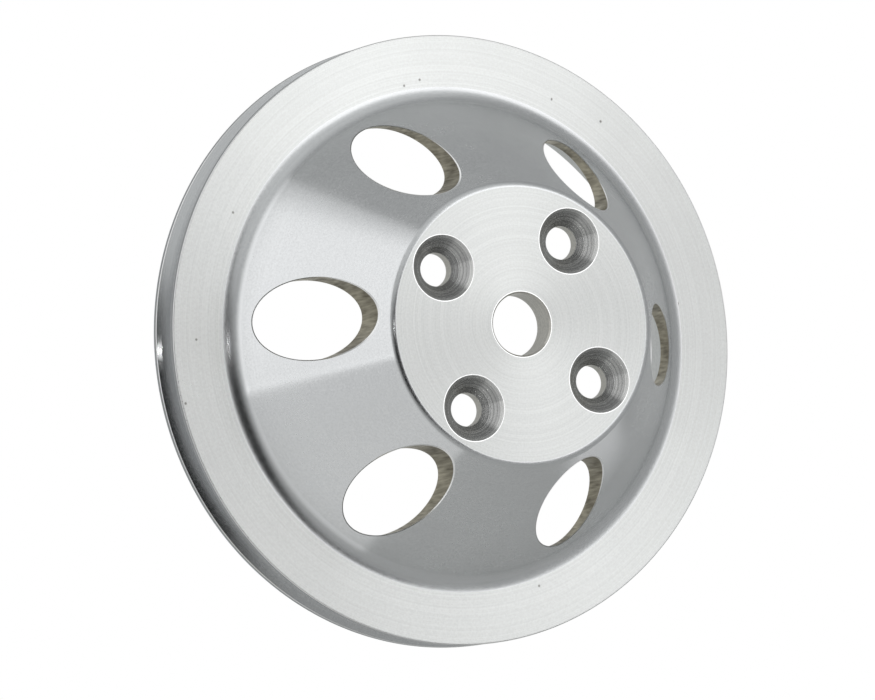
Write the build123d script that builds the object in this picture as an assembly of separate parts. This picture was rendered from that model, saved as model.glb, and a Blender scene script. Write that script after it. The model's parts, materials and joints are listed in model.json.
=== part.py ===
"""Single-groove V-belt pulley: a hollow cone web with a bolted hub plate, carrying a grooved rim.

Frame: millimetres. The pulley turns about Y and its nose points to -Y. The origin is the centre of the
pilot bore, in the plane of the hub plate's rear mounting face. +Z is up.
"""

import os
from math import atan, cos, degrees, hypot, radians, sin, tan

from build123d import *

# Rim and belt groove.
OUTER_RADIUS = 79.4  # 6 1/4 in over the flanges
GROOVE_WIDTH = 9.6  # across the mouth, for a 3/8 in belt
GROOVE_DEPTH = 10.9
GROOVE_HALF_ANGLE = 18.0
GROOVE_FLOOR_FILLET = 0.5
FRONT_LIP = 1.65  # width of the land outside the groove
REAR_LIP = 1.65
LIP_EDGE_BREAK = 0.3
SEAT_RADIUS = 66.0  # cylinder where the rim meets the web
SEAM_EDGE_BREAK = 0.1

# Hub plate and cone web.
NOSE_HEIGHT = 39.7  # nose face to the rim's front face
HUB_CORNER_RADIUS = 36.2  # sharp corner of nose face and cone, before rounding
CONE_BASE_RADIUS = 62.9  # sharp corner of cone and rim face, before rounding
NOSE_ROUND = 2.0
BASE_FILLET = 5.5
PLATE_THICKNESS = 7.8
INNER_PLATE_RADIUS = 34.0  # sharp corner of the plate's rear face and the inner cone, before filleting
CAVITY_RADIUS = 63.0
CAVITY_DEPTH = 8.6  # straight part of the hollow, from the rear face to the inner cone's sharp corner
PLATE_INNER_FILLET = 3.0
CAVITY_FILLET = 4.0
REAR_EDGE_BREAK = 0.6

# Holes.
PILOT_RADIUS = 7.95  # for a 5/8 in pilot
PILOT_EDGE_BREAK = 0.4
BOLT_COUNT = 4
BOLT_CIRCLE_RADIUS = 25.7
BOLT_HOLE_RADIUS = 4.3  # clearance for a 5/16 in flat-head screw
COUNTERSINK_RADIUS = 8.4
COUNTERSINK_HALF_ANGLE = 41.0
WEB_HOLE_COUNT = 6
WEB_HOLE_CIRCLE_RADIUS = 49.0
WEB_HOLE_RADIUS = 10.5
WEB_HOLE_EDGE_BREAK = 0.25
HOLE_CLOCKING = 60.0  # degrees from +X towards +Z, where a bolt hole and a web hole line up
MATCH_TOLERANCE = 0.01  # how far a point may be from a surface and still count as on it

# Places along the axis.
NOSE_Y = -PLATE_THICKNESS
RIM_FRONT_Y = NOSE_Y + NOSE_HEIGHT
RIM_REAR_Y = RIM_FRONT_Y + FRONT_LIP + GROOVE_WIDTH + REAR_LIP
GROOVE_MID_Y = RIM_FRONT_Y + FRONT_LIP + GROOVE_WIDTH / 2
CAVITY_TOP_Y = RIM_REAR_Y - CAVITY_DEPTH

# The outer cone's slope, as radius gained per millimetre of axis.
CONE_SLOPE = (CONE_BASE_RADIUS - HUB_CORNER_RADIUS) / NOSE_HEIGHT


def cone_y(radius):
    """Axial place of the cone's outer face at a radius."""
    return NOSE_Y + (radius - HUB_CORNER_RADIUS) / CONE_SLOPE


def vertex_near(sketch, x, y):
    """The sketch's corner at radius x and axial place y."""
    return sketch.vertices().sort_by_distance(Vector(x, y, 0))[0]


def revolved(sketch):
    return revolve(sketch, axis=Axis.Y)


def around_axis(radius, count):
    """Centres of count holes on a circle about the axis, the first at the clocking angle."""
    angles = [radians(HOLE_CLOCKING + 360 * i / count) for i in range(count)]
    return [(radius * cos(a), radius * sin(a)) for a in angles]


def drill(x, z, radius, front, rear):
    """A cylinder along +Y between two axial places, to cut a hole with."""
    return extrude(Plane(origin=(x, front, z), z_dir=(0, 1, 0)) * Circle(radius), rear - front)


def hub_and_web():
    """The turned cup, with its holes: hub plate, cone web that thins towards the rim, and seat."""
    outline = [
        (0, NOSE_Y),
        (HUB_CORNER_RADIUS, NOSE_Y),
        (CONE_BASE_RADIUS, RIM_FRONT_Y),
        (SEAT_RADIUS, RIM_FRONT_Y),
        (SEAT_RADIUS, RIM_REAR_Y),
        (CAVITY_RADIUS, RIM_REAR_Y),
        (CAVITY_RADIUS, CAVITY_TOP_Y),
        (INNER_PLATE_RADIUS, 0),
        (0, 0),
    ]
    profile = make_face(Polyline(*outline, close=True))
    rounds = [
        (HUB_CORNER_RADIUS, NOSE_Y, NOSE_ROUND),
        (CONE_BASE_RADIUS, RIM_FRONT_Y, BASE_FILLET),
        (CAVITY_RADIUS, CAVITY_TOP_Y, CAVITY_FILLET),
        (INNER_PLATE_RADIUS, 0, PLATE_INNER_FILLET),
    ]
    for x, y, radius in rounds:
        profile = fillet(vertex_near(profile, x, y), radius)
    profile = chamfer(vertex_near(profile, CAVITY_RADIUS, RIM_REAR_Y), REAR_EDGE_BREAK)
    profile = chamfer(vertex_near(profile, SEAT_RADIUS, RIM_FRONT_Y), SEAM_EDGE_BREAK)
    profile = chamfer(vertex_near(profile, SEAT_RADIUS, RIM_REAR_Y), SEAM_EDGE_BREAK)
    body = revolved(profile)

    body -= pilot_bore()
    for x, z in around_axis(BOLT_CIRCLE_RADIUS, BOLT_COUNT):
        body -= bolt_hole().moved(Location((x, 0, z)))
    web_holes = around_axis(WEB_HOLE_CIRCLE_RADIUS, WEB_HOLE_COUNT)
    for x, z in web_holes:
        body -= drill(x, z, WEB_HOLE_RADIUS, NOSE_Y, RIM_REAR_Y)
    return chamfer(front_mouths(body, web_holes), WEB_HOLE_EDGE_BREAK)


def front_mouths(body, centres):
    """The closed edges where holes at these centres come out of the cone's outer face."""
    mouths = []
    for edge in body.edges():
        points = [edge.position_at(i / 8) for i in range(8)]
        for x, z in centres:
            on_wall = all(abs(hypot(p.X - x, p.Z - z) - WEB_HOLE_RADIUS) < MATCH_TOLERANCE for p in points)
            on_cone = all(abs(p.Y - cone_y(hypot(p.X, p.Z))) < MATCH_TOLERANCE for p in points)
            if on_wall and on_cone:
                mouths.append(edge)
    return mouths


def pilot_bore():
    """The pilot bore's cutter, opened by an edge break at each face of the plate."""
    mouth = PILOT_RADIUS + PILOT_EDGE_BREAK
    outline = [
        (0, NOSE_Y),
        (mouth, NOSE_Y),
        (PILOT_RADIUS, NOSE_Y + PILOT_EDGE_BREAK),
        (PILOT_RADIUS, -PILOT_EDGE_BREAK),
        (mouth, 0),
        (0, 0),
    ]
    return revolved(make_face(Polyline(*outline, close=True)))


def bolt_hole():
    """A countersunk screw hole's cutter, on the axis."""
    sink_depth = (COUNTERSINK_RADIUS - BOLT_HOLE_RADIUS) / tan(radians(COUNTERSINK_HALF_ANGLE))
    outline = [
        (0, NOSE_Y),
        (COUNTERSINK_RADIUS, NOSE_Y),
        (BOLT_HOLE_RADIUS, NOSE_Y + sink_depth),
        (BOLT_HOLE_RADIUS, 0),
        (0, 0),
    ]
    return revolved(make_face(Polyline(*outline, close=True)))


def grooved_rim():
    """The ring around the web, with the belt groove turned into it."""
    floor_radius = OUTER_RADIUS - GROOVE_DEPTH
    floor_half_width = GROOVE_WIDTH / 2 - GROOVE_DEPTH * tan(radians(GROOVE_HALF_ANGLE))
    front_mouth_y = RIM_FRONT_Y + FRONT_LIP
    rear_mouth_y = RIM_REAR_Y - REAR_LIP
    front_floor_y = GROOVE_MID_Y - floor_half_width
    rear_floor_y = GROOVE_MID_Y + floor_half_width
    outline = [
        (SEAT_RADIUS, RIM_FRONT_Y),
        (OUTER_RADIUS, RIM_FRONT_Y),
        (OUTER_RADIUS, front_mouth_y),
        (floor_radius, front_floor_y),
        (floor_radius, rear_floor_y),
        (OUTER_RADIUS, rear_mouth_y),
        (OUTER_RADIUS, RIM_REAR_Y),
        (SEAT_RADIUS, RIM_REAR_Y),
    ]
    profile = make_face(Polyline(*outline, close=True))
    for y in (front_floor_y, rear_floor_y):
        profile = fillet(vertex_near(profile, floor_radius, y), GROOVE_FLOOR_FILLET)
    for y in (RIM_FRONT_Y, front_mouth_y, rear_mouth_y, RIM_REAR_Y):
        profile = fillet(vertex_near(profile, OUTER_RADIUS, y), LIP_EDGE_BREAK)
    for y in (RIM_FRONT_Y, RIM_REAR_Y):
        profile = chamfer(vertex_near(profile, SEAT_RADIUS, y), SEAM_EDGE_BREAK)
    return revolved(profile)


PARTS = {
    "hub_and_web": hub_and_web(),
    "grooved_rim": grooved_rim(),
}

os.makedirs("parts", exist_ok=True)
for name, solid in PARTS.items():
    solid.label = name
    export_step(solid, f"parts/{name}.step")
    print(name, "volume", round(solid.volume), "mm3")
print("cone half angle", round(degrees(atan(CONE_SLOPE)), 2))
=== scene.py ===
"""The V-belt pulley's final look: meshes for the CAD solids, turned aluminium and studio light."""

import json
from math import atan2, cos, hypot, pi, radians, sin, sqrt, tan

import bpy
from mathutils import Matrix, Vector


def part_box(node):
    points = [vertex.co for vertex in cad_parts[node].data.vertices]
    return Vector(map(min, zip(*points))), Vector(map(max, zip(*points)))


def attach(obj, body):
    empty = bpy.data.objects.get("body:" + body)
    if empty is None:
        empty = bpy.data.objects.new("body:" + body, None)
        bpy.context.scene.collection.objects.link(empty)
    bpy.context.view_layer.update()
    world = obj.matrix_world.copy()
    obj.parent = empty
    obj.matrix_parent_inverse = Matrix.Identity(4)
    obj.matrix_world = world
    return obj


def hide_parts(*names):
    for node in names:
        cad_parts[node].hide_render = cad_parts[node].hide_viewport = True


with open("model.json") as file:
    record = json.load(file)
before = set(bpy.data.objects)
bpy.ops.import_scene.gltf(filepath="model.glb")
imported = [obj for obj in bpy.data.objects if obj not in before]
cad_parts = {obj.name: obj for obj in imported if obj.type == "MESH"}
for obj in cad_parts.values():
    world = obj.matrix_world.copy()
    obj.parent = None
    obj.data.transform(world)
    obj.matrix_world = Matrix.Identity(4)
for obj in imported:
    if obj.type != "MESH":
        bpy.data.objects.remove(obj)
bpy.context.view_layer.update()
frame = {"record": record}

record = frame["record"]
mounts = {m["name"]: m for m in record["mounts"]}
MM = 0.001

# Places and radii that the frame gives, in metres. The pulley turns about Y and its nose points to -Y.
web_low, web_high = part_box("hub_and_web")
rim_low, rim_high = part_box("grooved_rim")
NOSE_Y = web_low[1]
PLATE_REAR_Y = 0.0  # the origin lies in this face
RIM_FRONT_Y = rim_low[1]
RIM_REAR_Y = rim_high[1]
NOSE_HEIGHT = RIM_FRONT_Y - NOSE_Y
RIM_WIDTH = RIM_REAR_Y - RIM_FRONT_Y
OUTER_RADIUS = round(rim_high[0], 4)  # to a tenth of a millimetre
PILOT_RADIUS = mounts["pilot_bore"]["dims"]["r_mm"] * MM
BOLT_CIRCLE_RADIUS = mounts["screw_holes"]["dims"]["pcd_mm"] / 2 * MM
BOLT_HOLE_RADIUS = mounts["screw_holes"]["dims"]["hole_r_mm"] * MM

# Turned profile, as in the CAD model.
SEAT_RADIUS = 66.0 * MM
HUB_CORNER_RADIUS = 36.2 * MM
CONE_BASE_RADIUS = 62.9 * MM
NOSE_ROUND = 2.0 * MM
BASE_FILLET = 5.5 * MM
INNER_PLATE_RADIUS = 34.0 * MM
CAVITY_RADIUS = 63.0 * MM
CAVITY_DEPTH = 8.6 * MM
PLATE_INNER_FILLET = 3.0 * MM
CAVITY_FILLET = 4.0 * MM
REAR_EDGE_BREAK = 0.6 * MM
SEAM_EDGE_BREAK = 0.1 * MM
PILOT_EDGE_BREAK = 0.4 * MM
COUNTERSINK_RADIUS = 8.4 * MM
COUNTERSINK_HALF_ANGLE = radians(41.0)
PAINTED_HIGHLIGHT_WIDTH = 0.2 * MM  # the painted highlight: a lighter, smoother ring round the countersinks and the bore
WEB_HOLE_CIRCLE_RADIUS = 49.0 * MM
WEB_HOLE_RADIUS = 10.5 * MM
WEB_HOLE_EDGE_BREAK = 0.25 * MM
HOLE_CLOCKING = radians(60.0)  # from +X towards +Z, where a bolt hole and a web hole line up
BOLT_COUNT = 4
WEB_HOLE_COUNT = 6
LIP = 1.65 * MM
GROOVE_DEPTH = 10.9 * MM
GROOVE_HALF_ANGLE = radians(18.0)
GROOVE_FLOOR_FILLET = 0.5 * MM
LIP_EDGE_BREAK = 0.3 * MM

CONE_SLOPE = (CONE_BASE_RADIUS - HUB_CORNER_RADIUS) / NOSE_HEIGHT
CAVITY_TOP_Y = RIM_REAR_Y - CAVITY_DEPTH

NEARLY_FLAT = 20.0  # the lean of a normal that all but faces the front
TINY = 1e-7  # in metres: a shorter length counts as nothing

# Rings in which the mesh is laid out round holes: inner radius, outer radius in front, outer radius behind.
PLATE_CELLS = (12.0 * MM, 35.0 * MM, 32.4 * MM)
WEB_CELLS = (37.2 * MM, 60.9 * MM, 59.75 * MM)

# Mesh density. Both hole counts divide the segments round the axis.
SEGMENTS = 384
ARC_STEPS = 12
PLATE_CELL_SIDES = 14  # steps along a cell's straight sides
WEB_CELL_SIDES = 20
CELL_RINGS = 8  # from a hole's edge to its cell's edge
CONE_CELL_RINGS = 12
WALL_STEPS = 8  # along a web hole's drilled wall


# ---------------------------------------------------------------- profiles

class Span:
    """A straight or round stretch of a profile: points (radius, y), their outward normals, a surface."""

    def __init__(self, points, normals, surface):
        self.points, self.normals, self.surface = points, normals, surface


def unit(a, b):
    length = hypot(a, b)
    return a / length, b / length


def turned_profile(corners, surfaces, names):
    """Spans round a closed walk of corners (radius, y, rounding). The solid lies to the left of the walk.

    surfaces names each straight stretch. A rounding takes the name of the stretch before it, or its own from
    names, which is keyed by the corner's place in the list.
    """
    count = len(corners)
    ends = []
    for i, (r, y, rounding) in enumerate(corners):
        if not rounding:
            ends.append(((r, y), (r, y), None))
            continue
        before, after = corners[i - 1], corners[(i + 1) % count]
        din = unit(r - before[0], y - before[1])
        dout = unit(after[0] - r, after[1] - y)
        turn = atan2(din[0] * dout[1] - din[1] * dout[0], din[0] * dout[0] + din[1] * dout[1])
        setback = abs(rounding * tan(turn / 2))
        start = (r - din[0] * setback, y - din[1] * setback)
        stop = (r + dout[0] * setback, y + dout[1] * setback)
        ends.append((start, stop, (rounding, turn, din)))
    spans = []
    for i in range(count):
        following = (i + 1) % count
        a, (b, _, arc) = ends[i][1], ends[following]
        direction = unit(b[0] - a[0], b[1] - a[1])
        outward = (direction[1], -direction[0])
        spans.append(Span([a, b], [outward, outward], surfaces[i]))
        if arc:
            spans.append(arc_span(b, *arc, names.get(following, surfaces[i])))
    return spans


def arc_span(start, rounding, turn, din, surface):
    """The rounding that begins at start, heading along din, and turns by an angle (positive to the left)."""
    side = 1 if turn > 0 else -1
    left = (-din[1], din[0])
    centre = (start[0] + side * rounding * left[0], start[1] + side * rounding * left[1])
    points, normals = [], []
    for k in range(ARC_STEPS + 1):
        a = turn * k / ARC_STEPS
        heading = (din[0] * cos(a) - din[1] * sin(a), din[0] * sin(a) + din[1] * cos(a))
        outward = (heading[1], -heading[0])
        points.append((centre[0] + side * rounding * outward[0], centre[1] + side * rounding * outward[1]))
        normals.append(outward)
    return Span(points, normals, surface)


# ---------------------------------------------------------------- mesh building

class TurnedMesh:
    """Collects faces with exact normals, and UVs whose u runs along the tool marks and v across them."""

    UV_SCALE = 10.0  # v per metre, so 0.1 m is one unit

    def __init__(self, materials):
        self.names = list(materials)
        self.materials = materials
        self.index, self.verts = {}, []
        self.faces, self.normals, self.uvs, self.slots = [], [], [], []

    def vertex(self, p):
        """The index of the vertex at p, shared by all faces that meet there."""
        key = tuple(round(c / TINY) for c in p)
        if key not in self.index:
            self.index[key] = len(self.verts)
            self.verts.append(p)
        return self.index[key]

    def face(self, corners, surface):
        """corners: (point, normal, (u, v)) each. The winding is set from the normals."""
        ids = [self.vertex(c[0]) for c in corners]
        kept = [i for i in range(len(ids)) if ids[i] != ids[i - 1]]
        if len(kept) < 3:
            return
        corners, ids = [corners[i] for i in kept], [ids[i] for i in kept]
        a, b, c = (Vector(corners[i][0]) for i in (0, 1, 2))
        facing = (b - a).cross(c - a)
        if len(corners) == 4:
            facing += (c - a).cross(Vector(corners[3][0]) - a)
        if facing.dot(sum((Vector(k[1]) for k in corners), Vector())) < 0:
            corners, ids = corners[::-1], ids[::-1]
        self.faces.append(ids)
        self.normals += [k[1] for k in corners]
        self.uvs += [k[2] for k in corners]
        self.slots.append(self.names.index(surface))

    def strip(self, rows, surface):
        """Faces between successive rows, each a list of corners of one length."""
        for low, high in zip(rows, rows[1:]):
            for k in range(len(low) - 1):
                self.face([low[k], low[k + 1], high[k + 1], high[k]], surface)

    def turn(self, span):
        """Revolves one span about Y."""
        travelled, previous, rows = 0.0, span.points[0], []
        flat = abs(span.points[0][1] - span.points[-1][1]) < TINY
        for (r, y), (nr, ny) in zip(span.points, span.normals):
            travelled += hypot(r - previous[0], y - previous[1])
            previous = (r, y)
            v = (r if flat else span.points[0][0] + span.points[0][1] + travelled) * self.UV_SCALE
            rows.append([corner_at(r, y, nr, ny, k, v) for k in range(SEGMENTS + 1)])
        self.strip(rows, span.surface)

    def build(self, name):
        mesh = bpy.data.meshes.new(name)
        mesh.from_pydata(self.verts, [], self.faces)
        for surface in self.names:
            mesh.materials.append(self.materials[surface])
        layer = mesh.uv_layers.new(name="tool_marks")
        for loop, uv in enumerate(self.uvs):
            layer.data[loop].uv = uv
        for polygon, slot in zip(mesh.polygons, self.slots):
            polygon.material_index = slot
            polygon.use_smooth = True
        mesh.normals_split_custom_set(self.normals)
        mesh.update()
        piece = bpy.data.objects.new(name, mesh)
        bpy.context.scene.collection.objects.link(piece)
        return piece


def corner_at(r, y, nr, ny, k, v):
    """A corner on the ring of radius r at height y, at step k round the axis."""
    a = 2 * pi * k / SEGMENTS
    return (r * cos(a), y, r * sin(a)), (nr * cos(a), ny, nr * sin(a)), (k / SEGMENTS, v)


class Surface:
    """A plane or cone about Y, as a height over radius: y = y0 + (r - r0) * rise, facing front or rear."""

    def __init__(self, r0, y0, rise, facing):
        self.r0, self.y0, self.rise = r0, y0, rise
        length = sqrt(1 + rise * rise)
        self.nr, self.ny = -facing * rise / length, facing / length
        self.stretch = length

    def y(self, r):
        return self.y0 + (r - self.r0) * self.rise

    def corner(self, x, z, turn):
        """turn: whole turns about Y to add to u, which keeps a face's corners on one side of the UV seam."""
        r = hypot(x, z)
        u = atan2(z, x) / (2 * pi) + turn
        normal = (self.nr * x / r, self.ny, self.nr * z / r)
        return (x, self.y(r), z), normal, (u, self.stretch * r * TurnedMesh.UV_SCALE)


def cell_outline(middle, count, inner, outer, sides):
    """The edge of one hole's cell, a closed walk in plan: inner arc, side, outer arc, side."""
    steps = SEGMENTS // count
    first = round(middle / (2 * pi) * SEGMENTS) - steps // 2
    angles = [2 * pi * (first + k) / SEGMENTS for k in range(steps + 1)]
    radii = [inner + (outer - inner) * k / sides for k in range(sides + 1)]
    walk = [(inner, a) for a in angles[:-1]] + [(r, angles[-1]) for r in radii[:-1]]
    walk += [(outer, a) for a in angles[:0:-1]] + [(r, angles[0]) for r in radii[:0:-1]]
    return [(r * cos(a), r * sin(a)) for r, a in walk]


def hole_directions(outline, centre):
    """Unit directions from the hole's centre to each point of a cell's outline, closed."""
    directions = [unit(x - centre[0], z - centre[1]) for x, z in outline]
    return directions + directions[:1]


def cell(mesh, surface, name, outline, directions, centre, radius, rings):
    """Fills between a cell's outline and its round hole, on one surface."""
    closed = outline + outline[:1]
    turn_at = round(atan2(centre[1], centre[0]) / (2 * pi), 6)
    rows = []
    for k in range(rings + 1):
        t = k / rings
        row = []
        for (x, z), (dx, dz) in zip(closed, directions):
            hx, hz = centre[0] + radius * dx, centre[1] + radius * dz
            px, pz = hx + (x - hx) * t, hz + (z - hz) * t
            u = atan2(pz, px) / (2 * pi)
            row.append(surface.corner(px, pz, round(turn_at - u)))
        rows.append(row)
    mesh.strip(rows, name)


def wall(mesh, name, centre, directions, rings):
    """A hole's wall between successive rings (radius, list of y, slope of the normal towards the front)."""
    rows = []
    travelled = 0.0
    for k, (radius, heights, lean) in enumerate(rings):
        row = []
        if k:
            travelled += hypot(radius - rings[k - 1][0], heights[0] - rings[k - 1][1][0])
        angle = None
        for (dx, dz), y in zip(directions, heights):
            now = atan2(dz, dx) / (2 * pi)
            if angle is not None:
                now += round(angle - now)
            angle = now
            inward = 1 / sqrt(1 + lean * lean)
            normal = (-dx * inward, -lean * inward, -dz * inward)
            point = (centre[0] + radius * dx, y, centre[1] + radius * dz)
            row.append((point, normal, (now, travelled * TurnedMesh.UV_SCALE)))
        rows.append(row)
    mesh.strip(rows, name)


def hole_centres(circle_radius, count):
    """Each hole's angle about the axis and its centre in plan."""
    angles = [HOLE_CLOCKING + 2 * pi * k / count for k in range(count)]
    return [(a, (circle_radius * cos(a), circle_radius * sin(a))) for a in angles]


# ---------------------------------------------------------------- materials

class Nodes:
    """Short calls for building one node tree."""

    def __init__(self, tree):
        self.tree = tree

    def add(self, kind, inputs=(), **settings):
        node = self.tree.nodes.new(kind)
        for key, value in settings.items():
            setattr(node, key, value)
        for socket, value in dict(inputs).items():
            self.put(node.inputs[socket], value)
        return node

    def put(self, socket, value):
        if isinstance(value, bpy.types.NodeSocket):
            self.tree.links.new(value, socket)
        else:
            socket.default_value = value

    def math(self, operation, a, b=0.0):
        return self.add("ShaderNodeMath", {0: a, 1: b}, operation=operation).outputs[0]

    def remap(self, value, low, high, to_low, to_high, shape="LINEAR"):
        inputs = {"Value": value, "From Min": low, "From Max": high, "To Min": to_low, "To Max": to_high}
        return self.add("ShaderNodeMapRange", inputs, interpolation_type=shape).outputs[0]

    def noise(self, scale, detail, vector=None, w=None, roughness=0.5):
        """Noise over a vector, or along one coordinate w."""
        inputs = {"Scale": scale, "Detail": detail, "Roughness": roughness}
        if w is not None:
            return self.add("ShaderNodeTexNoise", {**inputs, "W": w}, noise_dimensions="1D").outputs["Fac"]
        return self.add("ShaderNodeTexNoise", {**inputs, "Vector": vector}).outputs["Fac"]

    def mix(self, factor, a, b):
        node = self.add("ShaderNodeMix", data_type="RGBA")
        for socket, value in ((node.inputs[0], factor), (node.inputs[6], a), (node.inputs[7], b)):
            self.put(socket, value)
        return node.outputs[2]


class MaterialNodes(Nodes):
    """A new material's node tree, with its surface shader."""

    def __init__(self, name):
        self.material = bpy.data.materials.new(name)
        self.material.use_nodes = True
        super().__init__(self.material.node_tree)
        self.shader = self.tree.nodes["Principled BSDF"]


GRAIN_SCALE = 1800.0  # speckles per metre
MOTTLE_SCALE = 45.0  # cloudy patches per metre
UNEVENNESS = 0.02  # how far grain and mottle each move the roughness
PORE_CELLS = (90.0, 20.0, 1.0)  # cells round the rim, and per unit of v: about 5 mm each way
PORE_COLOUR = (0.25, 0.24, 0.23, 1)
PORE_CORE, PORE_EDGE = 0.03, 0.09  # of a cell: fully dark inside the first radius, clear outside the second
ACROSS_THE_MARKS = 0.25  # of a turn: the marks run along the tangent, and highlights spread across them
DRILL_MARKS = (40.0, 5.0, 1.0)  # stretch of the streaks: close together round the hole, long along its axis


def turned_metal(name, colour, dark, roughness, anisotropy, ring_height, ring_scale=60.0, ring_share=0.35,
                 pores=0.0):
    """Lathe-turned aluminium. Its rings follow the UV map's v, so they run round each surface's tool axis.

    ring_share: how much of the tint is the rings', beside grain and mottle. pores: the share of cells with
    a pore.
    """
    n = MaterialNodes(name)
    uv = n.add("ShaderNodeUVMap", uv_map="tool_marks").outputs[0]
    parts = n.add("ShaderNodeSeparateXYZ", {0: uv})
    across = parts.outputs[1]
    place = n.add("ShaderNodeTexCoord").outputs["Object"]
    fine = n.noise(ring_scale * 4, 2.0, w=across)
    coarse = n.noise(ring_scale, 3.0, w=across)
    grain = n.noise(GRAIN_SCALE, 2.0, vector=place)
    mottle = n.noise(MOTTLE_SCALE, 4.0, vector=place, roughness=0.6)
    rings = n.math("ADD", n.math("MULTIPLY", fine, 0.6), n.math("MULTIPLY", coarse, 0.4))
    shade = n.math("ADD", n.math("MULTIPLY", mottle, 0.35), n.math("MULTIPLY", grain, 0.65))
    shade = n.math("ADD", n.math("MULTIPLY", rings, ring_share), n.math("MULTIPLY", shade, 1 - ring_share))
    tint = n.mix(n.remap(shade, 0.40, 0.60, 0.0, 1.0), (*dark, 1), (*colour, 1))
    uneven = [n.remap(noise, 0.3, 0.7, -UNEVENNESS, UNEVENNESS) for noise in (mottle, grain)]
    rough = n.math("ADD", n.math("ADD", *uneven), roughness)
    if pores:
        spread = n.add("ShaderNodeMapping", {"Vector": uv, "Scale": PORE_CELLS}).outputs[0]
        pits = n.add("ShaderNodeTexVoronoi", {"Vector": spread, "Scale": 1.0}, voronoi_dimensions="2D")
        chosen = n.add("ShaderNodeSeparateColor", {0: pits.outputs["Color"]}).outputs[0]
        rare = n.math("LESS_THAN", chosen, pores)
        near = n.remap(pits.outputs["Distance"], PORE_CORE, PORE_EDGE, 1.0, 0.0)
        tint = n.mix(n.math("MULTIPLY", rare, near), tint, PORE_COLOUR)
    bump = n.add("ShaderNodeBump", {"Height": rings, "Distance": ring_height, "Strength": 1.0})
    tangent = n.add("ShaderNodeTangent", direction_type="UV_MAP", uv_map="tool_marks")
    n.put(n.shader.inputs["Base Color"], tint)
    n.put(n.shader.inputs["Metallic"], 1.0)
    n.put(n.shader.inputs["Roughness"], rough)
    n.put(n.shader.inputs["Anisotropic"], anisotropy)
    n.put(n.shader.inputs["Anisotropic Rotation"], ACROSS_THE_MARKS)
    n.put(n.shader.inputs["Tangent"], tangent.outputs[0])
    n.put(n.shader.inputs["Normal"], bump.outputs[0])
    return n.material


def drilled_metal_painted_shade(name):
    """The web holes' walls: duller, with streaks along the drill's feed, in a dark warm tan that is painted
    shade and a painted warm reflection.
    """
    n = MaterialNodes(name)
    uv = n.add("ShaderNodeUVMap", uv_map="tool_marks").outputs[0]
    stretched = n.add("ShaderNodeMapping", {"Vector": uv, "Scale": DRILL_MARKS}).outputs[0]
    streaks = n.noise(2.0, 3.0, vector=stretched, roughness=0.6)
    place = n.add("ShaderNodeTexCoord").outputs["Object"]
    blotches = n.noise(120.0, 2.0, vector=place)
    shade = n.math("ADD", n.math("MULTIPLY", streaks, 0.6), n.math("MULTIPLY", blotches, 0.4))
    # The streaks are drill marks. The dark warm tan of the whole wall is painted shade and a painted warm
    # reflection.
    tint = n.mix(n.remap(shade, 0.35, 0.65, 0.0, 1.0), (0.17, 0.15, 0.11, 1), (0.50, 0.46, 0.35, 1))
    bump = n.add("ShaderNodeBump", {"Height": streaks, "Distance": 0.05 * MM, "Strength": 1.0})
    n.put(n.shader.inputs["Base Color"], tint)
    n.put(n.shader.inputs["Metallic"], 1.0)
    n.put(n.shader.inputs["Roughness"], n.remap(shade, 0.35, 0.65, 0.52, 0.3))
    n.put(n.shader.inputs["Normal"], bump.outputs[0])
    return n.material


# ---------------------------------------------------------------- the two pieces

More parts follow.
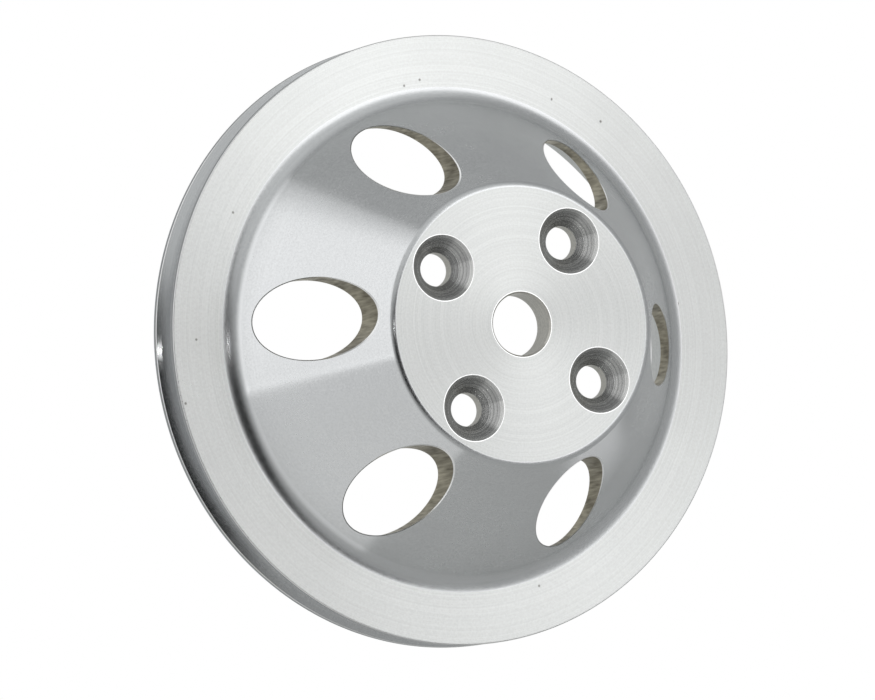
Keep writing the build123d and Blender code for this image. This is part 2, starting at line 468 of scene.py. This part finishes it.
def build_web(materials):
    """The hub plate, cone web and seat, with all its holes."""
    mesh = TurnedMesh(materials)
    outer = Surface(HUB_CORNER_RADIUS, NOSE_Y, 1 / CONE_SLOPE, -1)
    inner_rise = (CAVITY_TOP_Y - PLATE_REAR_Y) / (CAVITY_RADIUS - INNER_PLATE_RADIUS)
    inner = Surface(INNER_PLATE_RADIUS, PLATE_REAR_Y, inner_rise, 1)
    nose = Surface(0.0, NOSE_Y, 0.0, -1)
    plate_rear = Surface(0.0, PLATE_REAR_Y, 0.0, 1)
    mouth = PILOT_RADIUS + PILOT_EDGE_BREAK

    corners = [
        # First a flat ring of painted highlight round the bore's mouth.
        (mouth, NOSE_Y, 0),
        (mouth + PAINTED_HIGHLIGHT_WIDTH, NOSE_Y, 0),
        (HUB_CORNER_RADIUS, NOSE_Y, NOSE_ROUND),
        (CONE_BASE_RADIUS, RIM_FRONT_Y, BASE_FILLET),
        (SEAT_RADIUS - SEAM_EDGE_BREAK, RIM_FRONT_Y, 0),
        (SEAT_RADIUS, RIM_FRONT_Y + SEAM_EDGE_BREAK, 0),
        (SEAT_RADIUS, RIM_REAR_Y - SEAM_EDGE_BREAK, 0),
        (SEAT_RADIUS - SEAM_EDGE_BREAK, RIM_REAR_Y, 0),
        (CAVITY_RADIUS + REAR_EDGE_BREAK, RIM_REAR_Y, 0),
        (CAVITY_RADIUS, RIM_REAR_Y - REAR_EDGE_BREAK, 0),
        (CAVITY_RADIUS, CAVITY_TOP_Y, CAVITY_FILLET),
        (INNER_PLATE_RADIUS, PLATE_REAR_Y, PLATE_INNER_FILLET),
        (mouth, PLATE_REAR_Y, 0),
        (PILOT_RADIUS, PLATE_REAR_Y - PILOT_EDGE_BREAK, 0),
        (PILOT_RADIUS, NOSE_Y + PILOT_EDGE_BREAK, 0),
    ]
    surfaces = ["burnished", "face", "cone", "rim_face", "rim_face", "cone", "cone", "rear", "rear", "rear",
                "inner", "inner", "bore", "bore", "bore"]
    # Both roundings take the darker material with painted shade.
    nose_and_base = {2: "round", 3: "round"}
    for span in turned_profile(corners, surfaces, nose_and_base):
        low, high = sorted((span.points[0][0], span.points[-1][0]))
        for inside, in_front, behind in (PLATE_CELLS, WEB_CELLS):
            outside = in_front if span.normals[0][1] < 0 else behind
            if len(span.points) == 2 and low < inside and outside < high:
                turn_around_cells(mesh, span, inside, outside)
                break
        else:
            mesh.turn(soft_seam(span))
    add_bolt_holes(mesh, nose, plate_rear)
    add_web_holes(mesh, outer, inner)
    return mesh.build("turned_web")


def hole_cell(middle, centre, count, ring, sides):
    """The outlines of a hole's cell in front and behind, and directions to its points from the centre."""
    inside, in_front, behind = ring
    front = cell_outline(middle, count, inside, in_front, sides)
    rear = cell_outline(middle, count, inside, behind, sides)
    return front, rear, hole_directions(front, centre)


def add_bolt_holes(mesh, nose, plate_rear):
    """The countersunk holes through the hub plate, each ringed by a painted highlight line."""
    sink_depth = (COUNTERSINK_RADIUS - BOLT_HOLE_RADIUS) / tan(COUNTERSINK_HALF_ANGLE)
    sink_floor_y = NOSE_Y + sink_depth
    lean = tan(COUNTERSINK_HALF_ANGLE)
    highlight_ring_radius = COUNTERSINK_RADIUS + PAINTED_HIGHLIGHT_WIDTH
    for middle, centre in hole_centres(BOLT_CIRCLE_RADIUS, BOLT_COUNT):
        front, rear, around = hole_cell(middle, centre, BOLT_COUNT, PLATE_CELLS, PLATE_CELL_SIDES)
        cell(mesh, nose, "face", front, around, centre, highlight_ring_radius, CELL_RINGS)
        cell(mesh, plate_rear, "inner", rear, around, centre, BOLT_HOLE_RADIUS, CELL_RINGS)

        def ring(radius, y, normal_lean):
            return radius, [y] * len(around), normal_lean

        # A flat ring of painted highlight round the countersink, its normals facing the front.
        wall(mesh, "burnished", centre, around,
             [ring(highlight_ring_radius, NOSE_Y, NEARLY_FLAT), ring(COUNTERSINK_RADIUS, NOSE_Y, NEARLY_FLAT)])
        wall(mesh, "countersink", centre, around,
             [ring(COUNTERSINK_RADIUS, NOSE_Y, lean), ring(BOLT_HOLE_RADIUS, sink_floor_y, lean)])
        wall(mesh, "bore", centre, around,
             [ring(BOLT_HOLE_RADIUS, sink_floor_y, 0.0), ring(BOLT_HOLE_RADIUS, PLATE_REAR_Y, 0.0)])


def add_web_holes(mesh, outer, inner):
    """The round holes through the cone, each with a broken front edge and a drilled wall."""
    wide = WEB_HOLE_RADIUS + WEB_HOLE_EDGE_BREAK
    for middle, centre in hole_centres(WEB_HOLE_CIRCLE_RADIUS, WEB_HOLE_COUNT):
        front, rear, around = hole_cell(middle, centre, WEB_HOLE_COUNT, WEB_CELLS, WEB_CELL_SIDES)
        cell(mesh, outer, "cone", front, around, centre, wide, CONE_CELL_RINGS)
        cell(mesh, inner, "inner", rear, around, centre, WEB_HOLE_RADIUS, CELL_RINGS)

        def heights(surface, radius, drop=0.0):
            from_axis = [hypot(centre[0] + radius * dx, centre[1] + radius * dz) for dx, dz in around]
            return [surface.y(r) + drop for r in from_axis]

        lip = heights(outer, wide)
        edge = heights(outer, WEB_HOLE_RADIUS, WEB_HOLE_EDGE_BREAK)
        wall(mesh, "edge", centre, around, [(wide, lip, 1.0), (WEB_HOLE_RADIUS, edge, 1.0)])
        far = heights(inner, WEB_HOLE_RADIUS)
        rings = []
        for k in range(WALL_STEPS + 1):
            t = k / WALL_STEPS
            rings.append((WEB_HOLE_RADIUS, [a + (b - a) * t for a, b in zip(edge, far)], 0.0))
        wall(mesh, "drilled", centre, around, rings)


def turn_around_cells(mesh, span, inner, outer):
    """Turns the parts of a straight span that the holes' cells leave: inside inner and outside outer."""
    (r0, y0), (r1, y1) = span.points

    def at(r):
        t = (r - r0) / (r1 - r0)
        return r, y0 + (y1 - y0) * t

    low, high = sorted((r0, r1))
    for a, b in ((low, inner), (outer, high)):
        mesh.turn(Span([at(a), at(b)], span.normals, span.surface))


def soft_seam(span):
    """Faces the seam's tiny chamfers to the front or rear, so the seam shows as a faint line only."""
    (r0, y0), (r1, y1) = span.points[0], span.points[-1]
    offs = [abs(abs(step) - SEAM_EDGE_BREAK) for step in (r1 - r0, y1 - y0)]
    if len(span.points) == 2 and max(offs) < TINY:
        facing = 1 if span.normals[0][1] > 0 else -1
        return Span(span.points, [(0.0, facing)] * 2, span.surface)
    return span


def build_rim(materials):
    """The ring with the belt groove."""
    middle = (RIM_FRONT_Y + RIM_REAR_Y) / 2
    mouth_half = RIM_WIDTH / 2 - LIP
    floor_half = mouth_half - GROOVE_DEPTH * tan(GROOVE_HALF_ANGLE)
    floor_radius = OUTER_RADIUS - GROOVE_DEPTH
    corners = [
        (SEAT_RADIUS, RIM_FRONT_Y + SEAM_EDGE_BREAK, 0),
        (SEAT_RADIUS + SEAM_EDGE_BREAK, RIM_FRONT_Y, 0),
        (OUTER_RADIUS, RIM_FRONT_Y, LIP_EDGE_BREAK),
        (OUTER_RADIUS, middle - mouth_half, LIP_EDGE_BREAK),
        (floor_radius, middle - floor_half, GROOVE_FLOOR_FILLET),
        (floor_radius, middle + floor_half, GROOVE_FLOOR_FILLET),
        (OUTER_RADIUS, middle + mouth_half, LIP_EDGE_BREAK),
        (OUTER_RADIUS, RIM_REAR_Y, LIP_EDGE_BREAK),
        (SEAT_RADIUS + SEAM_EDGE_BREAK, RIM_REAR_Y, 0),
        (SEAT_RADIUS, RIM_REAR_Y - SEAM_EDGE_BREAK, 0),
    ]
    surfaces = ["rim_face", "rim_face", "land", "groove", "groove", "groove", "land", "rear", "rear", "rear"]
    lips = {2: "edge", 3: "edge", 6: "edge", 7: "edge"}
    mesh = TurnedMesh(materials)
    for span in turned_profile(corners, surfaces, lips):
        mesh.turn(soft_seam(span))
    return mesh.build("turned_rim")


# ---------------------------------------------------------------- assembly and studio

bright, grey = (0.88, 0.89, 0.88), (0.75, 0.76, 0.75)
face = turned_metal("turned_face", bright, grey,
                    roughness=0.36, anisotropy=0.55, ring_height=0.006 * MM)
rim_face = turned_metal("turned_rim_face", bright, grey,
                        roughness=0.31, anisotropy=0.8, ring_height=0.004 * MM, pores=0.025)
cone = turned_metal("turned_cone", (0.85, 0.86, 0.87), (0.74, 0.75, 0.76),
                    roughness=0.25, anisotropy=0.95, ring_height=0.0006 * MM, ring_share=0.12)
# Darker than the cone and faces: painted shade in the concave base fillet, which the convex nose round
# shares.
rounding = turned_metal("turned_rounding_painted_shade", (0.78, 0.79, 0.80), (0.72, 0.73, 0.74),
                        roughness=0.21, anisotropy=0.95, ring_height=0.001 * MM)
# Much darker than the faces: painted shade on the sideways-facing lands of the lips.
land = turned_metal("turned_land_with_painted_shade", (0.46, 0.47, 0.48), (0.36, 0.37, 0.38),
                    roughness=0.30, anisotropy=0.8, ring_height=0.002 * MM)
inner = turned_metal("turned_inner", (0.86, 0.87, 0.86), (0.73, 0.74, 0.73),
                     roughness=0.34, anisotropy=0.8, ring_height=0.010 * MM)
groove = turned_metal("turned_groove", (0.78, 0.79, 0.80), (0.70, 0.71, 0.72),
                      roughness=0.15, anisotropy=1.0, ring_height=0.001 * MM)
countersink = turned_metal("turned_countersink", (0.74, 0.74, 0.73), (0.28, 0.28, 0.28),
                           roughness=0.26, anisotropy=0.9, ring_height=0.05 * MM,
                           ring_scale=48.0, ring_share=0.85)
bore = turned_metal("turned_bore", (0.70, 0.68, 0.63), (0.52, 0.51, 0.47),
                    roughness=0.33, anisotropy=0.7, ring_height=0.012 * MM)
# Lighter than the turned faces: the real broken edges and lip roundings get part of their bright line as
# painted highlight.
edge = turned_metal("broken_edge_painted_highlight", (0.92, 0.92, 0.92), (0.88, 0.88, 0.88),
                    roughness=0.3, anisotropy=0.0, ring_height=0.002 * MM)
# Lighter and smoother than the faces: a painted highlight line round the countersinks and the bore.
burnished = turned_metal("painted_highlight_line", (0.96, 0.96, 0.96), (0.90, 0.90, 0.90),
                         roughness=0.16, anisotropy=0.0, ring_height=0.0005 * MM)
drilled = drilled_metal_painted_shade("drilled_wall_painted_shade")

web = build_web({"face": face, "cone": cone, "rim_face": rim_face, "rear": inner, "inner": inner,
                 "bore": bore, "countersink": countersink, "edge": edge, "drilled": drilled,
                 "round": rounding, "burnished": burnished})
rim = build_rim({"rim_face": rim_face, "land": land, "edge": edge, "groove": groove, "rear": inner})
for piece, node, slot in ((web, "hub_and_web", "turned_web"), (rim, "grooved_rim", "turned_rim")):
    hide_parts(node)
    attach(piece, "root")


def view_basis(azimuth, elevation, roll=0.0):
    """Right, up and back of a camera that looks along +Y at azimuth 0, rolled by an angle."""
    back = Vector((sin(azimuth) * cos(elevation), -cos(azimuth) * cos(elevation), sin(elevation)))
    right = Vector((cos(azimuth), sin(azimuth), 0.0))
    up = back.cross(right)
    return right * cos(roll) + up * sin(roll), up * cos(roll) - right * sin(roll), back


CAMERA_AZIMUTH = radians(-24.85)  # to the left of the nose
CAMERA_ELEVATION = radians(-6.45)  # looking a little upwards
CAMERA_ROLL = radians(1.24)
CAMERA_DISTANCE = 1.832
CAMERA_LENS = 290.8  # millimetres, on a sensor of 36
LEFT_OF_AIM = 4.66 * MM
BELOW_AIM = 2.88 * MM

right, up, back = view_basis(CAMERA_AZIMUTH, CAMERA_ELEVATION, CAMERA_ROLL)
aim = Vector((0.0, RIM_FRONT_Y, 0.0))


def add_camera():
    """A long lens that looks along the view, past the aim on its lower left."""
    data = bpy.data.cameras.new("camera")
    data.sensor_width = 36.0
    data.lens = CAMERA_LENS
    camera = bpy.data.objects.new("camera", data)
    bpy.context.scene.collection.objects.link(camera)
    place = aim + back * CAMERA_DISTANCE - right * LEFT_OF_AIM - up * BELOW_AIM
    camera.matrix_world = Matrix((
        (right.x, up.x, back.x, place.x),
        (right.y, up.y, back.y, place.y),
        (right.z, up.z, back.z, place.z),
        (0, 0, 0, 1),
    ))
    bpy.context.scene.camera = camera


def seen(sideways, upwards, towards):
    """A direction in the row's frame, from its parts to the camera's right, up and back."""
    return (right * sideways + up * upwards + back * towards).normalized()


def add_card(name, direction, distance, width, height, radiance, fades=(0.0, 0.0, 0.0, 0.0), rest=0.0):
    """A rectangular light card that faces the pulley, at a distance along a direction.

    fades: the parts of the card over which its light rises from its left, right, lower and upper edge.
    rest: the light's share at such an edge.
    """
    data = bpy.data.lights.new(name, "AREA")
    data.shape = "RECTANGLE"
    data.size, data.size_y = width, height
    data.energy = radiance * width * height * pi
    data.use_nodes = True
    n = Nodes(data.node_tree)
    emission = next(node for node in n.tree.nodes if node.type == "EMISSION")
    on_card = n.add("ShaderNodeNewGeometry").outputs["Parametric"]
    along, upwards, _ = n.add("ShaderNodeSeparateXYZ", {0: on_card}).outputs
    from_left, from_right, from_below, from_above = fades
    edges = ((along, 0.0, from_left), (along, 1.0, 1.0 - from_right),
             (upwards, 0.0, from_below), (upwards, 1.0, 1.0 - from_above))
    level = 1.0
    for place, start, stop in edges:
        if start != stop:
            level = n.math("MULTIPLY", level, n.remap(place, start, stop, rest, 1.0, "SMOOTHSTEP"))
    n.put(emission.inputs["Strength"], level)
    light = bpy.data.objects.new(name, data)
    bpy.context.scene.collection.objects.link(light)
    light.visible_camera = False
    direction = direction.normalized()
    light.location = aim + direction * distance
    light.rotation_mode = "QUATERNION"
    light.rotation_quaternion = direction.to_track_quat("Z", "Y")


FLOOR_SIZE = 9.2
FLOOR_Z = -2.0
FLOOR_FADE = (2.3, 4.5)  # distances from its middle where it starts to fade and has gone


def add_floor():
    """Pale paper under the pulley that fades out into the white background."""
    bpy.ops.mesh.primitive_plane_add(size=FLOOR_SIZE, location=(0, 0, FLOOR_Z))
    floor = bpy.context.object
    floor.name = "floor"
    n = MaterialNodes("floor_paper")
    n.put(n.shader.inputs["Base Color"], (0.86, 0.86, 0.85, 1))
    n.put(n.shader.inputs["Roughness"], 0.8)
    place = n.add("ShaderNodeTexCoord").outputs["Object"]
    distance = n.add("ShaderNodeVectorMath", {0: place}, operation="LENGTH").outputs["Value"]
    n.put(n.shader.inputs["Alpha"], n.remap(distance, *FLOOR_FADE, 1.0, 0.0))
    floor.data.materials.append(n.material)


def add_world(ambient, lobes):
    """White where the camera looks past the pulley. For everything else, a room with light and dark areas.

    ambient is the room's level. lobes are (direction, degrees, degrees, level): the room has that level out
    to the first angle from the direction, and its own again from the second.
    """
    world = bpy.data.worlds.new("studio")
    world.use_nodes = True
    bpy.context.scene.world = world
    n = Nodes(world.node_tree)
    n.tree.nodes.clear()
    ray = n.add("ShaderNodeTexCoord").outputs["Generated"]
    level = ambient
    for direction, full, gone, target in lobes:
        towards = n.add("ShaderNodeVectorMath", {0: ray, 1: direction}, operation="DOT_PRODUCT")
        low, high = cos(radians(gone)), cos(radians(full))
        share = n.remap(towards.outputs["Value"], low, high, 0.0, 1.0, "SMOOTHSTEP")
        level = n.add("ShaderNodeMix", {0: share, 2: level, 3: target}).outputs[0]
    room = n.add("ShaderNodeBackground", {"Strength": level, "Color": (0.98, 1.0, 1.0, 1)}).outputs[0]
    white = n.add("ShaderNodeBackground", {"Color": (1, 1, 1, 1)}).outputs[0]
    for_camera = n.add("ShaderNodeLightPath").outputs["Is Camera Ray"]
    either = n.add("ShaderNodeMixShader", {0: for_camera, 1: room, 2: white}).outputs[0]
    n.add("ShaderNodeOutputWorld", {0: either})


add_camera()
add_floor()
add_world(0.37, [
    (Vector((0.0, 1.0, 0.0)), 12, 42, 0.72),  # pale behind the pulley
    (seen(0.30, 0.70, 0.65), 20, 42, 0.60),  # pale above the camera
    (seen(0.10, -0.08, 0.99), 10, 27, 0.0),  # dark round the camera
    (seen(0.50, 0.04, 0.865), 10, 24, 0.0),  # dark to its right
])
add_card("card_right", seen(0.76, 0.27, 0.59), distance=1.0, width=0.46, height=0.58, radiance=1.12,
         fades=(0.0, 0.3, 0.0, 0.1), rest=0.5)
add_card("card_left", seen(-0.80, 0.41, 0.44), distance=1.2, width=1.0, height=1.85, radiance=0.75,
         fades=(0.0, 0.0, 0.0, 0.22), rest=0.42)
add_card("card_low", seen(-0.583, -0.719, 0.378), distance=0.6, width=0.6, height=0.81, radiance=0.36,
         fades=(0.3, 0.1, 0.9, 0.0), rest=0.75)
add_card("card_rear", Vector((0.66, 0.66, -0.36)), distance=1.3, width=0.7, height=0.5, radiance=0.85,
         fades=(0.2, 0.2, 0.2, 0.2), rest=0.4)
add_card("lamp", seen(0.24, 0.16, 0.956), distance=2.0, width=0.03, height=0.014, radiance=180.0)
bpy.context.scene.view_settings.view_transform = "Standard"
